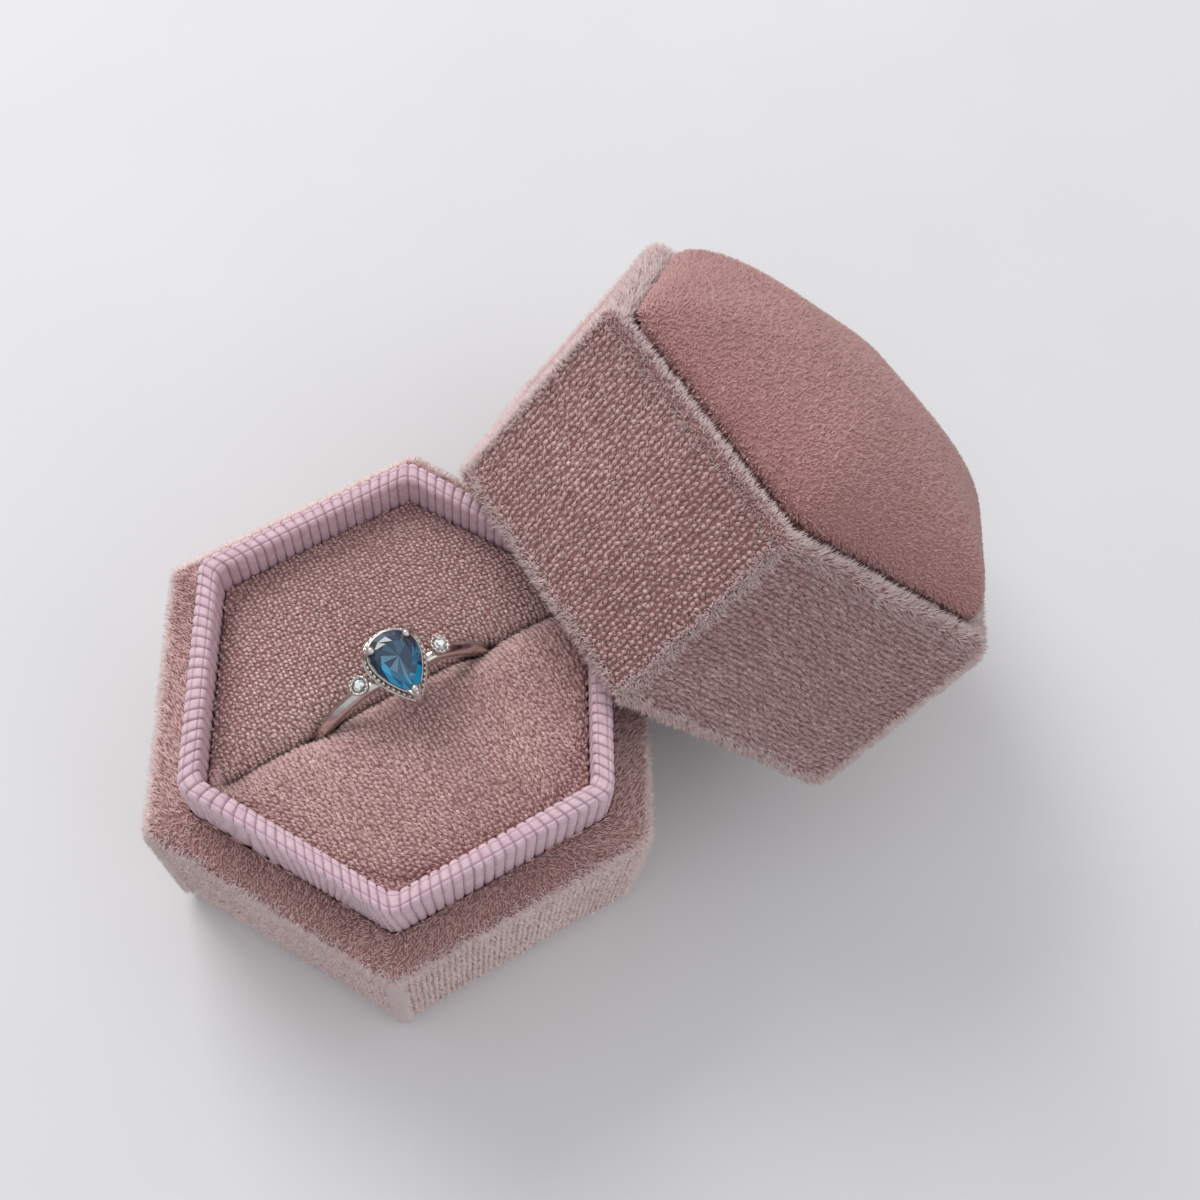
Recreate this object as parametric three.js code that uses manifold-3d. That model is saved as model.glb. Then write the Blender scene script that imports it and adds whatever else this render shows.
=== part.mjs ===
// A hexagonal velvet ring box, open: its lid is off and leans on the base, and a ring stands in the slot.
// Millimetres, +Z up. The origin is the middle of the base's underside, and +X runs along the ring slot,
// towards the corner of the base that the lid leans over.
// A hexagonal piece is sized by its "flat": the distance from its middle to the middle of a flat side.
import * as THREE from "three";
import { ConvexGeometry } from "three/addons/geometries/ConvexGeometry.js";
import { mergeVertices } from "three/addons/utils/BufferGeometryUtils.js";
import Module from "manifold-3d";

const wasm = await Module();
wasm.setup();

// Driving dimensions
const BOX_ACROSS_CORNERS = 55;
const LEDGE_HEIGHT = 23.2; // top of the velvet ledge that the closed lid sits on
const COLLAR_HEIGHT = 7; // how far the ribbon-covered collar stands above the ledge
const LID_HEIGHT = 22.8; // lid walls, without the dome
const DOME_HEIGHT = 31.2; // top of the domed cushion above the lid's mouth
const DOME_OVERHANG = 1.2; // how far the domed cushion swells out over the lid's rim
const LID_REACH = 48.5; // from the base's middle to the edge that the leaning lid has on the table
const LID_TURN = 2; // degrees that the leaning lid is turned from the slot's line
const RING_OUTER = 10.3; // outer radius of the ring's shank
const RING_CENTRE_HEIGHT = 21.2;
const GAP = 0.3; // left between pieces that touch

// Sheet thicknesses
const VELVET = 1.2; // cloth and pile
const LINING = 1;
const BOARD = 2;
const LID_BOARD = 1.1;
const COLLAR_BOARD = 0.75;
const RIBBON = 0.35;
const PAD = 0.7; // felt sheet under the base

// Hexagon sizes, worked inwards from the outside
const SIDES = 6;
const FLAT_OVER_CORNER = Math.cos(Math.PI / SIDES);
const boxFlat = (BOX_ACROSS_CORNERS / 2) * FLAT_OVER_CORNER;
const wallFlat = boxFlat - VELVET - GAP;
const collarFlat = wallFlat - BOARD - 0.5;
const collarBoardFlat = collarFlat - RIBBON - GAP;
const collarInnerFlat = collarBoardFlat - COLLAR_BOARD - GAP - RIBBON;
const cushionFlat = collarInnerFlat - GAP;
const lidBoardFlat = boxFlat - VELVET - 0.2;
const lidMouthFlat = collarFlat + GAP;

// Heights, worked upwards
const hemTop = PAD + GAP + 0.7;
const floorBottom = hemTop + GAP;
const floorTop = floorBottom + BOARD;
const insideFloor = floorTop + GAP;
const collarTop = LEDGE_HEIGHT + COLLAR_HEIGHT;
const domeBottom = LID_HEIGHT - 3;
const rimInner = lidMouthFlat + 0.4;
const domeFlat = rimInner - GAP;

// Meshes

const CLOTH = { roughness: 0.95, metalness: 0 };
const SILVER = { color: 0xd8d4cf, roughness: 0.18, metalness: 1 };
const BLUE_STONE = { color: 0x1d5674, roughness: 0.05, metalness: 0 };
const CLEAR_STONE = { color: 0xe9eef0, roughness: 0.05, metalness: 0 };

function piece(name, geometry, finish) {
  const mesh = new THREE.Mesh(geometry, new THREE.MeshStandardMaterial(finish));
  mesh.name = name;
  return mesh;
}

const velvet = (name, geometry) => piece(name, geometry, { ...CLOTH, color: 0xa98084 });
const foam = (name, geometry) => piece(name, geometry, { ...CLOTH, color: 0xe4dfd2 });
const greyBoard = (name, geometry) => piece(name, geometry, { ...CLOTH, color: 0x9a9286 });
const silver = (name, geometry) => piece(name, geometry, SILVER);

// Booleans

function toSolid(geometry) {
  const bare = geometry.clone();
  bare.deleteAttribute("normal");
  bare.deleteAttribute("uv");
  const merged = mergeVertices(bare, 1e-4);
  const triVerts = merged.index.array;
  return new wasm.Manifold(
    new wasm.Mesh({
      numProp: 3,
      vertProperties: merged.attributes.position.array,
      triVerts: new Uint32Array(triVerts),
    }),
  );
}

function toGeometry(solid) {
  const { vertProperties, triVerts } = solid.getMesh();
  return new THREE.BufferGeometry()
    .setAttribute("position", new THREE.BufferAttribute(vertProperties, 3))
    .setIndex(new THREE.BufferAttribute(triVerts, 1));
}

const cut = (a, b) => toGeometry(toSolid(a).subtract(toSolid(b)));
const join = (a, b) => toGeometry(toSolid(a).add(toSolid(b)));

function box(from, to) {
  const size = to.map((high, axis) => high - from[axis]);
  const middle = to.map((high, axis) => (high + from[axis]) / 2);
  return new THREE.BoxGeometry(...size).translate(...middle);
}

// Turned and hexagonal bodies

// A body turned about Z from an outline of [distance from the axis, height] points.
// An outline that starts and ends on the axis makes a solid, and any other one closes on itself.
function turned(outline, segments) {
  const points = outline.map(([distance, height]) => new THREE.Vector2(distance, height));
  if (THREE.ShapeUtils.area(points) < 0) points.reverse();
  const solid = points[0].x === 0 && points[points.length - 1].x === 0;
  if (!solid) points.push(points[0].clone());
  return new THREE.LatheGeometry(points, segments).rotateX(Math.PI / 2);
}

// The same with six sides, from an outline of [flat, height] points, with flat sides facing +X and -X.
function hexagonal(outline) {
  const corners = outline.map(([flat, height]) => [flat / FLAT_OVER_CORNER, height]);
  return turned(corners, SIDES);
}

function hexagonalPlate(flat, bottom, top) {
  return hexagonal([[0, bottom], [flat, bottom], [flat, top], [0, top]]);
}

function hexagonalTube(innerFlat, outerFlat, bottom, top) {
  return hexagonal([[innerFlat, bottom], [outerFlat, bottom], [outerFlat, top], [innerFlat, top]]);
}

// Points on a quarter ellipse from [flat, height - rise] round to [flat - reach, height].
function roundedEdge(flat, height, reach, rise, steps = 4) {
  return Array.from({ length: steps + 1 }, (_, step) => {
    const angle = (step / steps) * (Math.PI / 2);
    return [flat - reach * (1 - Math.cos(angle)), height - rise * (1 - Math.sin(angle))];
  });
}

// The same on the inside of a rim, from [flat + reach, height] round to [flat, height - rise].
function roundedInnerEdge(flat, height, reach, rise, steps) {
  const outside = roundedEdge(-flat, height, reach, rise, steps);
  return outside.reverse().map(([distance, level]) => [-distance, level]);
}

// The base

function basePieces() {
  const base = new THREE.Group();
  base.rotation.z = Math.PI / SIDES; // its corners, not its flats, face along the slot
  const ledgeInner = collarFlat + GAP;
  const hemInner = boxFlat - 4.5;
  const velvetInner = boxFlat - VELVET;
  const cover = [
    [hemInner, PAD + GAP],
    [boxFlat, PAD + GAP],
    ...roundedEdge(boxFlat, LEDGE_HEIGHT, 1.1, 1.1),
    [ledgeInner, LEDGE_HEIGHT],
    [ledgeInner, LEDGE_HEIGHT - VELVET],
    [velvetInner, LEDGE_HEIGHT - VELVET],
    [velvetInner, hemTop],
    [hemInner, hemTop],
  ];
  const ribbonOutside = LEDGE_HEIGHT - 3; // the ribbon's outer edge, tucked in behind the ledge
  const ribbonInside = collarTop - 15;
  const ribbon = [
    [collarFlat - RIBBON, ribbonOutside],
    [collarFlat, ribbonOutside],
    ...roundedEdge(collarFlat, collarTop, 0.5, 0.5, 2),
    ...roundedInnerEdge(collarInnerFlat, collarTop, 0.5, 0.5, 2),
    [collarInnerFlat, ribbonInside],
    [collarInnerFlat + RIBBON, ribbonInside],
    [collarInnerFlat + RIBBON, collarTop - RIBBON],
    [collarFlat - RIBBON, collarTop - RIBBON],
  ];
  base.add(
    piece("base_foot_felt", hexagonalPlate(boxFlat - 0.6, 0, PAD), { ...CLOTH, color: 0x8d6a70 }),
    velvet("base_velvet_cover", hexagonal(cover)),
    greyBoard("base_floor_board", hexagonalPlate(wallFlat, floorBottom, floorTop)),
    greyBoard(
      "base_wall_board",
      hexagonalTube(wallFlat - BOARD, wallFlat, insideFloor, LEDGE_HEIGHT - VELVET - GAP),
    ),
    greyBoard(
      "collar_board",
      hexagonalTube(
        collarBoardFlat - COLLAR_BOARD,
        collarBoardFlat,
        insideFloor,
        collarTop - RIBBON - GAP,
      ),
    ),
    piece("collar_ribbon", hexagonal(ribbon), { color: 0xcbb0bd, roughness: 0.6, metalness: 0 }),
  );
  return base;
}

// The cushion is two halves that the slot parts, each a block of foam under its own piece of velvet.

const SLOT_HALF_WIDTH = 1.3;
const CUSHION_EDGE = LEDGE_HEIGHT + 2.7; // where the cushion meets the collar
const CUSHION_CROWN = 1.6; // how far it rises from there to the slot

function cushionBlock(flat, inset, bottom) {
  const edge = CUSHION_EDGE - inset;
  const crown = edge + CUSHION_CROWN;
  const dome = roundedEdge(flat, crown, flat, CUSHION_CROWN, 7);
  const block = hexagonal([[0, bottom], [flat, bottom], ...dome]).rotateZ(Math.PI / SIDES);
  const slotSide = SLOT_HALF_WIDTH + inset;
  return cut(block, box([-flat * 2, -flat * 2, bottom - 1], [flat * 2, slotSide, crown + 1]));
}

function cushionHalf(side) {
  const cover = cut(
    cushionBlock(cushionFlat, 0, insideFloor),
    cushionBlock(cushionFlat - LINING, LINING, insideFloor - 1),
  );
  const inset = LINING + GAP;
  const half = new THREE.Group();
  half.add(
    velvet("cushion_velvet_" + side, cover),
    foam("cushion_foam_" + side, cushionBlock(cushionFlat - inset, inset, insideFloor)),
  );
  return half;
}

function cushion() {
  const both = new THREE.Group();
  const front = cushionHalf("front");
  front.rotation.z = Math.PI;
  both.add(cushionHalf("back"), front);
  return both;
}

// The lid, made upright about the middle of its mouth

// The domed cushion's outside, or a skin's depth inside it: it stands in the rim and swells out over it.
function domeOutline(depth) {
  const neck = domeFlat - depth;
  const swell = neck + DOME_OVERHANG;
  const underside = LID_HEIGHT + GAP + depth;
  const top = DOME_HEIGHT - depth;
  const dome = roundedEdge(swell, top, swell, top - underside - 0.9, 9);
  return [[neck, domeBottom], [neck, underside], ...dome];
}

function lidPieces() {
  const rimReturn = lidMouthFlat + LINING;
  const boardInner = lidBoardFlat - LID_BOARD;
  const cover = [
    [lidMouthFlat, 0],
    [boxFlat, 0],
    ...roundedEdge(boxFlat, LID_HEIGHT, 1.2, 1.2),
    ...roundedInnerEdge(rimInner, LID_HEIGHT, 0.9, 0.9, 3),
    [rimInner, domeBottom],
    [rimInner + 0.6, domeBottom],
    [rimInner + 0.6, LID_HEIGHT - LINING],
    [boxFlat - VELVET, LID_HEIGHT - LINING],
    [boxFlat - VELVET, LINING],
    [rimReturn, LINING],
    [rimReturn, 5],
    [lidMouthFlat, 5],
  ];
  const ceiling = 15.8;
  const padTop = ceiling + 1.7;
  const boardBottom = padTop + GAP;
  const domeFoam = [[0, domeBottom], ...domeOutline(VELVET + GAP)];
  const domeCover = [...domeOutline(0), ...domeOutline(VELVET).reverse()];
  const upright = new THREE.Group();
  upright.add(
    velvet("lid_velvet_cover", hexagonal(cover)),
    greyBoard(
      "lid_wall_board",
      hexagonalTube(boardInner, lidBoardFlat, LINING + GAP, LID_HEIGHT - LINING - GAP),
    ),
    velvet(
      "lid_lining_walls",
      hexagonalTube(lidMouthFlat, rimReturn, 5 + GAP, ceiling - GAP),
    ),
    velvet("lid_lining_pad", hexagonalPlate(boardInner - GAP, ceiling, padTop)),
    greyBoard("lid_top_board", hexagonalPlate(boardInner - GAP, boardBottom, domeBottom - GAP)),
    foam("dome_foam", hexagonal(domeFoam)),
    velvet("dome_velvet", hexagonal(domeCover)),
  );
  return upright;
}

// The lid leans with one outside edge of its mouth on the table and the opposite inside edge on the collar.
function leaningLid() {
  const tilt = Math.asin((collarTop + GAP) / (boxFlat + lidMouthFlat));
  const lid = lidPieces();
  lid.rotation.y = tilt;
  lid.position.set(LID_REACH - boxFlat * Math.cos(tilt), 0, boxFlat * Math.sin(tilt));
  const turn = new THREE.Group();
  turn.rotation.z = THREE.MathUtils.degToRad(LID_TURN);
  turn.add(lid);
  return turn;
}

// The ring stands in the slot, made about the middle of its finger hole

const SHANK_THICK = 1.35;
const SHANK_WIDTH = 1.45;
const SEAT = RING_OUTER - 0.8; // flat at the top of the shank where the setting sits
const STONE_LENGTH = 6.8;
const STONE_WIDTH = 4.7;
const GIRDLE = 11.1; // height of the stone's widest outline above the ring's centre
const CROWN = 0.9;
const PAVILION = 1.1;

// A pear outline with its point towards -Y, centred on its bounding box.
function pear(length, width) {
  const round = width / 2;
  const point = -length / 2;
  const centre = length / 2 - round;
  const lean = Math.acos(round / (centre - point)) - Math.PI / 2; // where the arc meets the sides
  const sideBulge = [round * 0.86, point + length * 0.28];
  const outline = new THREE.Shape();
  outline.moveTo(0, point);
  outline.quadraticCurveTo(...sideBulge, round * Math.cos(lean), centre + round * Math.sin(lean));
  outline.absarc(0, centre, round, lean, Math.PI - lean, false);
  outline.quadraticCurveTo(-sideBulge[0], sideBulge[1], 0, point);
  return outline;
}

function shank() {
  const half = SHANK_WIDTH / 2;
  const inner = RING_OUTER - SHANK_THICK;
  const section = [
    [inner, -half * 0.8],
    [RING_OUTER - 0.5, -half],
    [RING_OUTER, 0],
    [RING_OUTER - 0.5, half],
    [inner, half * 0.8],
  ];
  const hoop = turned(section, 48).rotateX(Math.PI / 2);
  return cut(hoop, box([-3, -2, SEAT], [3, 2, RING_OUTER + 1]));
}

function pearSetting() {
  const rim = 0.5;
  const bottom = SEAT + GAP;
  const top = GIRDLE - GAP;
  const outline = pear(STONE_LENGTH + 2 * rim, STONE_WIDTH + 2 * rim);
  outline.holes.push(pear(STONE_LENGTH - 0.6, STONE_WIDTH - 0.5));
  const wall = { depth: top - bottom, bevelEnabled: false, curveSegments: 8 };
  let setting = new THREE.ExtrudeGeometry(outline, wall).translate(0, 0, bottom);
  const clawRadius = 0.32;
  const clawHeight = GIRDLE + CROWN - bottom;
  const round = STONE_WIDTH / 2;
  const centre = STONE_LENGTH / 2 - round;
  const reach = round + 0.15 + clawRadius;
  const point = -STONE_LENGTH / 2 - 0.15 - clawRadius;
  const claws = [
    [reach * Math.cos(0.5), centre + reach * Math.sin(0.5)],
    [-reach * Math.cos(0.5), centre + reach * Math.sin(0.5)],
    [0, point],
  ];
  for (const [x, y] of claws) {
    const claw = new THREE.CylinderGeometry(clawRadius, clawRadius, clawHeight, 10).rotateX(Math.PI / 2);
    setting = join(setting, claw.translate(x, y, bottom + clawHeight / 2));
  }
  return setting;
}

function pearStone() {
  const level = (scale, height) =>
    pear(STONE_LENGTH * scale, STONE_WIDTH * scale)
      .getPoints(5)
      .map(({ x, y }) => new THREE.Vector3(x, y, GIRDLE + height));
  const culet = new THREE.Vector3(0, STONE_WIDTH / 6, GIRDLE - PAVILION);
  return new ConvexGeometry([...level(0.6, CROWN), ...level(1, 0.1), ...level(1, 0), culet]);
}

// Side stones sit in small round cups on the shank's shoulders.
const SIDE_STONE = 0.55;
const CUP_HEIGHT = 0.95;

function sideCup() {
  const hole = SIDE_STONE + 0.15;
  const wall = hole + 0.25;
  const bottom = 0.35;
  const outline = [[0, 0], [wall, 0], [wall, CUP_HEIGHT], [hole, CUP_HEIGHT], [hole, bottom], [0, bottom]];
  return turned(outline, 16);
}

function sideStone() {
  const girdle = CUP_HEIGHT - 0.15;
  const table = girdle + 0.2;
  const outline = [[0, 0.5], [SIDE_STONE, girdle], [SIDE_STONE, girdle + 0.05], [0.3, table], [0, table]];
  return turned(outline, 8);
}

function ring() {
  const group = new THREE.Group();
  group.position.z = RING_CENTRE_HEIGHT;
  group.add(
    silver("ring_shank", shank()),
    silver("pear_setting", pearSetting()),
    piece("pear_stone", pearStone(), BLUE_STONE),
  );
  const shoulder = THREE.MathUtils.degToRad(21.5);
  for (const [side, lean] of [["left", -shoulder], ["right", shoulder]]) {
    const settled = (geometry) => geometry.translate(0, 0, RING_OUTER + GAP).rotateY(lean);
    group.add(
      silver("side_cup_" + side, settled(sideCup())),
      piece("side_stone_" + side, settled(sideStone()), CLEAR_STONE),
    );
  }
  return group;
}

const ringBox = new THREE.Group();
ringBox.add(basePieces(), cushion(), leaningLid(), ring());

export default ringBox;
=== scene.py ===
# A hexagonal velvet ring box, open: the lid leans on the base and a ring stands in the cushion's slot.
# Sizes are in millimetres until a mesh is made. +X runs along the slot and +Z is up.
import math

import bpy
import numpy as np
from mathutils import Matrix, Vector


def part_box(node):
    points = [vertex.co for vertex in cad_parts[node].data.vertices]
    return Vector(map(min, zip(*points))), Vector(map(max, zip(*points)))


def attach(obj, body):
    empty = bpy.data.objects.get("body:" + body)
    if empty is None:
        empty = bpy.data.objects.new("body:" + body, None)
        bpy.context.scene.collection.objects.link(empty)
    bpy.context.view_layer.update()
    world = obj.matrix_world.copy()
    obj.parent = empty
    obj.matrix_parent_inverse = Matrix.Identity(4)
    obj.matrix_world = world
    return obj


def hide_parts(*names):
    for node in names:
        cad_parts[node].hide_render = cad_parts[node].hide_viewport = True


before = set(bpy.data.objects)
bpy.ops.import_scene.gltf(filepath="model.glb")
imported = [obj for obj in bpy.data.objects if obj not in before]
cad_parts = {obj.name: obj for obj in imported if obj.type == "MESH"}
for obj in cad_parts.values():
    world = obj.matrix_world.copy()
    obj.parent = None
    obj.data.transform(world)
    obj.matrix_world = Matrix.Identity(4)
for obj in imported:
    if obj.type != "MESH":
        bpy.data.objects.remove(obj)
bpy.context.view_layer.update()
chance = np.random.default_rng(11)

MM = 0.001
TAN30 = math.tan(math.radians(30))
COS30 = math.cos(math.radians(30))
UP = np.array([0.0, 0.0, 1.0])
GAP = 0.3  # between pieces of different bodies


def box_of(node):
    low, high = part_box(node)
    return np.array(low) / MM, np.array(high) / MM


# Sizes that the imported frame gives. A "flat" is the distance from the middle to a flat side.
HEM_LEVEL = box_of("base_velvet_cover")[0][2]
_, (_, BOX_FLAT, LEDGE_LEVEL) = box_of("base_velvet_cover")
_, (_, COLLAR_FLAT, COLLAR_TOP) = box_of("collar_ribbon")
_, (_, CUSHION_FLAT, CUSHION_TOP) = box_of("cushion_velvet_back")
CUSHION_FLOOR = box_of("cushion_velvet_back")[0][2]
BASE_TURN = math.radians(30)  # of its first flat side from +X

# The lid's own sizes, as it stands upright on the middle of its mouth.
LID_HEIGHT = 22.8
LID_MOUTH_FLAT = COLLAR_FLAT + GAP
LID_REACH = 48.5
LID_TURN = math.radians(2)
LID_TILT = math.asin((COLLAR_TOP + GAP) / (BOX_FLAT + LID_MOUTH_FLAT))
DOME_BOTTOM = LID_HEIGHT - 3
DOME_TOP = 31.2
DOME_FLAT = LID_MOUTH_FLAT + 0.1
DOME_OVERHANG = 1.2
LINING_TOP = 15.8
TURN_IN = 5.0  # the level that the lid's velvet reaches inside its mouth

# The ring
RING_CENTRE = 21.2
RING_OUTER = 10.3
SHANK_THICK = 1.35
SHANK_WIDTH = 1.45
RING_SEAT = RING_OUTER - 0.8
GIRDLE = RING_CENTRE + 11.1
STONE_LENGTH = 6.8
STONE_WIDTH = 4.7
PAVILION = 1.1  # depth of the stone under its widest outline
SHOULDER = math.radians(21.5)  # from the top of the band to each side stone

PILE_DEPTH = 0.4  # the woven cloth lies this far below the tips of its pile
TUFT_PITCH = 0.64
RIB_PITCH = 1.08  # of the ribbon's ribs
THREAD_PITCH = 0.92  # of the threads that cross them

# How a pile is cut: a tuft's body, by its radius and how far it reaches along the nap, then its strands,
# by their length and thickness, how many share a tuft, how far they spread from its middle and how far
# they stray from the nap, and last how much tufts vary in tone.
CROPPED = dict(body=0.24, reach=0.5, tall=0.85, thick=0.17, strands=7, spread=0.22, stray=0.2, vary=0.08)
CLOSE = dict(body=0.19, reach=0.42, tall=0.66, thick=0.14, strands=7, spread=0.17, stray=0.22, vary=0.07)
BRUSHED = dict(body=0, reach=0, tall=0.5, thick=0.27, strands=4, spread=0.16, stray=0.2, vary=0.04)
FURRY = dict(body=0, reach=0, tall=1.0, thick=0.15, strands=6, spread=0.22, stray=0.22, vary=0.08)
MOST_FACES = 180000  # in one mesh


# Meshes


def unit(vectors):
    return vectors / np.maximum(np.linalg.norm(vectors, axis=-1, keepdims=True), 1e-9)


def signed_volume(points, face_sets):
    total = 0.0
    for faces in face_sets:
        for k in range(1, faces.shape[1] - 1):
            a, b, c = points[faces[:, 0]], points[faces[:, k]], points[faces[:, k + 1]]
            total += (a * np.cross(b, c)).sum()
    return total


def in_scene(name, data):
    made = bpy.data.objects.new(name, data)
    bpy.context.scene.collection.objects.link(made)
    return made


def make_piece(name, body, points, face_sets, materials, shades=None, smooth=True):
    """A mesh object that rides on a body. Each face set is an array of faces with one number of corners."""
    if signed_volume(points, face_sets) < 0:
        face_sets = [faces[:, ::-1] for faces in face_sets]
    corners = np.concatenate([faces.ravel() for faces in face_sets]).astype(np.int32)
    sizes = np.concatenate([np.full(len(faces), faces.shape[1]) for faces in face_sets])
    starts = np.concatenate([[0], np.cumsum(sizes)[:-1]]).astype(np.int32)
    mesh = bpy.data.meshes.new(name)
    mesh.vertices.add(len(points))
    mesh.vertices.foreach_set("co", (points * MM).astype(np.float32).ravel())
    mesh.loops.add(len(corners))
    mesh.loops.foreach_set("vertex_index", corners)
    mesh.polygons.add(len(sizes))
    mesh.polygons.foreach_set("loop_start", starts)
    mesh.polygons.foreach_set("use_smooth", np.full(len(sizes), smooth))
    if shades is not None:
        mesh.polygons.foreach_set("material_index", np.asarray(shades, np.int32))
    mesh.update(calc_edges=True)
    mesh.validate()
    for finish in materials:
        mesh.materials.append(finish)
    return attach(in_scene(name, mesh), body)


def full_turn(count):
    """Angles spread evenly round a circle."""
    return np.linspace(0, 2 * math.pi, count, endpoint=False)


def pairs(first, second):
    """A grid of every value of the first with every value of the second."""
    return np.stack(np.meshgrid(first, second, indexing="ij"), -1)


def reach_of(path):
    """The distance along a path to each of its points."""
    steps = np.linalg.norm(np.diff(path, axis=0), axis=1)
    return np.concatenate([[0], np.cumsum(steps)])


def directions(surface, spots):
    """Unit vectors round, along and out of a surface at some spots on it."""
    nudge = 0.02
    across = unit(surface.at(spots + [nudge, 0]) - surface.at(spots - [nudge, 0]))
    along = surface.at(spots + [0, nudge]) - surface.at(spots - [0, nudge])
    out = unit(np.cross(across, along))
    return across, np.cross(out, across), out


def grid_faces(rows, columns, closed_rows=False, closed_columns=False):
    """Quads over a grid of points stored row by row."""
    r = np.arange(rows if closed_rows else rows - 1)
    c = np.arange(columns if closed_columns else columns - 1)
    r, c = (g.ravel() for g in np.meshgrid(r, c, indexing="ij"))
    down, right = (r + 1) % rows, (c + 1) % columns
    corners = [r * columns + c, r * columns + right, down * columns + right, down * columns + c]
    return np.stack(corners, axis=1)


def joined(parts):
    """Several (points, face sets) as one."""
    points, face_sets, start = [], [], 0
    for some_points, some_faces in parts:
        points.append(some_points)
        face_sets += [faces + start for faces in some_faces]
        start += len(some_points)
    return np.concatenate(points), face_sets


def turned(section, centre, axis_x, axis_y, steps):
    """A closed ring: section(angle) gives points of (outward, sideways) round a circle in the x-y axes."""
    side = np.cross(axis_x, axis_y)
    rows = []
    for angle in full_turn(steps):
        out = math.cos(angle) * axis_x + math.sin(angle) * axis_y
        rows.append([centre + out * far + side * across for far, across in section(angle)])
    points = np.array(rows)
    faces = grid_faces(len(rows), points.shape[1], closed_rows=True, closed_columns=True)
    return points.reshape(-1, 3), [faces]


def tube(path, radius, sides=10, closed=False):
    """A round tube along a path, with flat ends where it is open."""
    path = np.asarray(path, float)
    if closed:
        heading = unit(np.roll(path, -1, axis=0) - np.roll(path, 1, axis=0))
    else:
        heading = unit(np.gradient(path, axis=0))
    across = unit(np.cross(heading, UP + 1e-3))
    over = np.cross(across, heading)
    radius = np.broadcast_to(radius, len(path))[:, None, None]
    angles = full_turn(sides)[None, :, None]
    rim = np.cos(angles) * across[:, None] + np.sin(angles) * over[:, None]
    points = (path[:, None] + radius * rim).reshape(-1, 3)
    faces = [grid_faces(len(path), sides, closed_rows=closed, closed_columns=True)]
    if not closed:
        first = np.arange(sides)[None, ::-1]
        last = (len(path) - 1) * sides + np.arange(sides)[None, :]
        faces += [first, last]
    return points, faces


def bead(centre, radius, stretch=(1, 1, 1), rings=7, sides=12):
    """A small ball."""
    tilt = np.linspace(0, math.pi, rings + 2)[1:-1]
    tilt, turn = np.meshgrid(tilt, full_turn(sides), indexing="ij")
    shell = np.stack([np.sin(tilt) * np.cos(turn), np.sin(tilt) * np.sin(turn), np.cos(tilt)], -1)
    poles = [[0, 0, 1], [0, 0, -1]]
    points = np.concatenate([shell.reshape(-1, 3), poles]) * radius * np.array(stretch) + centre
    top, bottom = rings * sides, rings * sides + 1
    around = np.arange(sides)
    beyond = (around + 1) % sides
    last = (rings - 1) * sides
    caps = [[top, a, b] for a, b in zip(around, beyond)]
    caps += [[bottom, last + b, last + a] for a, b in zip(around, beyond)]
    quads = grid_faces(rings, sides, closed_columns=True)[:, ::-1]
    return points, [quads, np.array(caps)]


# Six-sided shapes


def quarter(start, end):
    """Points round a quarter ellipse. It leaves start upright and arrives at end level."""
    angles = np.linspace(0, math.pi / 2, 6)
    across = start[0] + (end[0] - start[0]) * (1 - np.cos(angles))
    level = start[1] + (end[1] - start[1]) * np.sin(angles)
    return list(zip(across, level))


def quarter_down(start, end):
    """The same, leaving start level and arriving at end upright."""
    return quarter(end, start)[::-1]


class Wrap:
    """Cloth round a six-sided box with rounded corners, from an outline of (flat, level) points.

    A spot on it is (distance round the box, distance along the outline).
    """

    def __init__(self, outline, corner, first_side, place=np.eye(4)):
        self.flats, self.levels = np.array(outline, float).T
        self.reach = reach_of(outline)
        self.corner = corner
        self.first_side = first_side
        self.place = place
        self.straight = 2 * (self.flats.max() - corner) * TAN30
        self.side = self.straight + corner * math.pi / 3
        self.round = 6 * self.side

    def at(self, spots):
        around, along = spots[..., 0], spots[..., 1]
        flat = np.interp(along, self.reach, self.flats)
        level = np.interp(along, self.reach, self.levels)
        number = np.floor(around / self.side)
        rest = around - number * self.side
        slide = (2 * np.clip(rest / self.straight, 0, 1) - 1) * TAN30
        turn = np.clip((rest - self.straight) / (self.side - self.straight), 0, 1) * math.pi / 3
        facing = self.first_side + number * math.pi / 3
        straight_x = np.cos(facing) - slide * np.sin(facing)
        straight_y = np.sin(facing) + slide * np.cos(facing)
        inner = flat - self.corner
        x = inner * straight_x + self.corner * np.cos(facing + turn)
        y = inner * straight_y + self.corner * np.sin(facing + turn)
        return moved(np.stack([x, y, level], -1), self.place)

    def round_steps(self, straight_steps, bend_steps):
        straight = np.linspace(0, self.straight, straight_steps, endpoint=False)
        bend = np.linspace(self.straight, self.side, bend_steps, endpoint=False)
        one = np.concatenate([straight, bend])
        return np.concatenate([one + k * self.side for k in range(6)])


def moved(points, place):
    return points @ place[:3, :3].T + place[:3, 3]


def wrap_piece(name, body, outline, corner, first_side, place, materials):
    """A closed six-sided shell from the outline of its section."""
    wrap = Wrap(outline + outline[:1], corner, first_side, place)
    around = wrap.round_steps(straight_steps=14, bend_steps=6)
    points = wrap.at(pairs(around, wrap.reach[:-1])).reshape(-1, 3)
    faces = grid_faces(len(around), len(outline), closed_rows=True, closed_columns=True)
    return make_piece(name, body, points, [faces], materials)


def six_sided_distance(x, y, sharpness):
    """A distance from the middle that equals the flat on a rounded hexagon with flats facing +X and -X.

    Sharpness 2 gives circles, and a large one a sharp hexagon.
    """
    total = 0
    for angle in (0, math.pi / 3, 2 * math.pi / 3):
        total = total + np.abs(x * math.cos(angle) + y * math.sin(angle)) ** sharpness
    return (total / (1 + 2 * 0.5**sharpness)) ** (1 / sharpness)


# Materials


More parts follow.
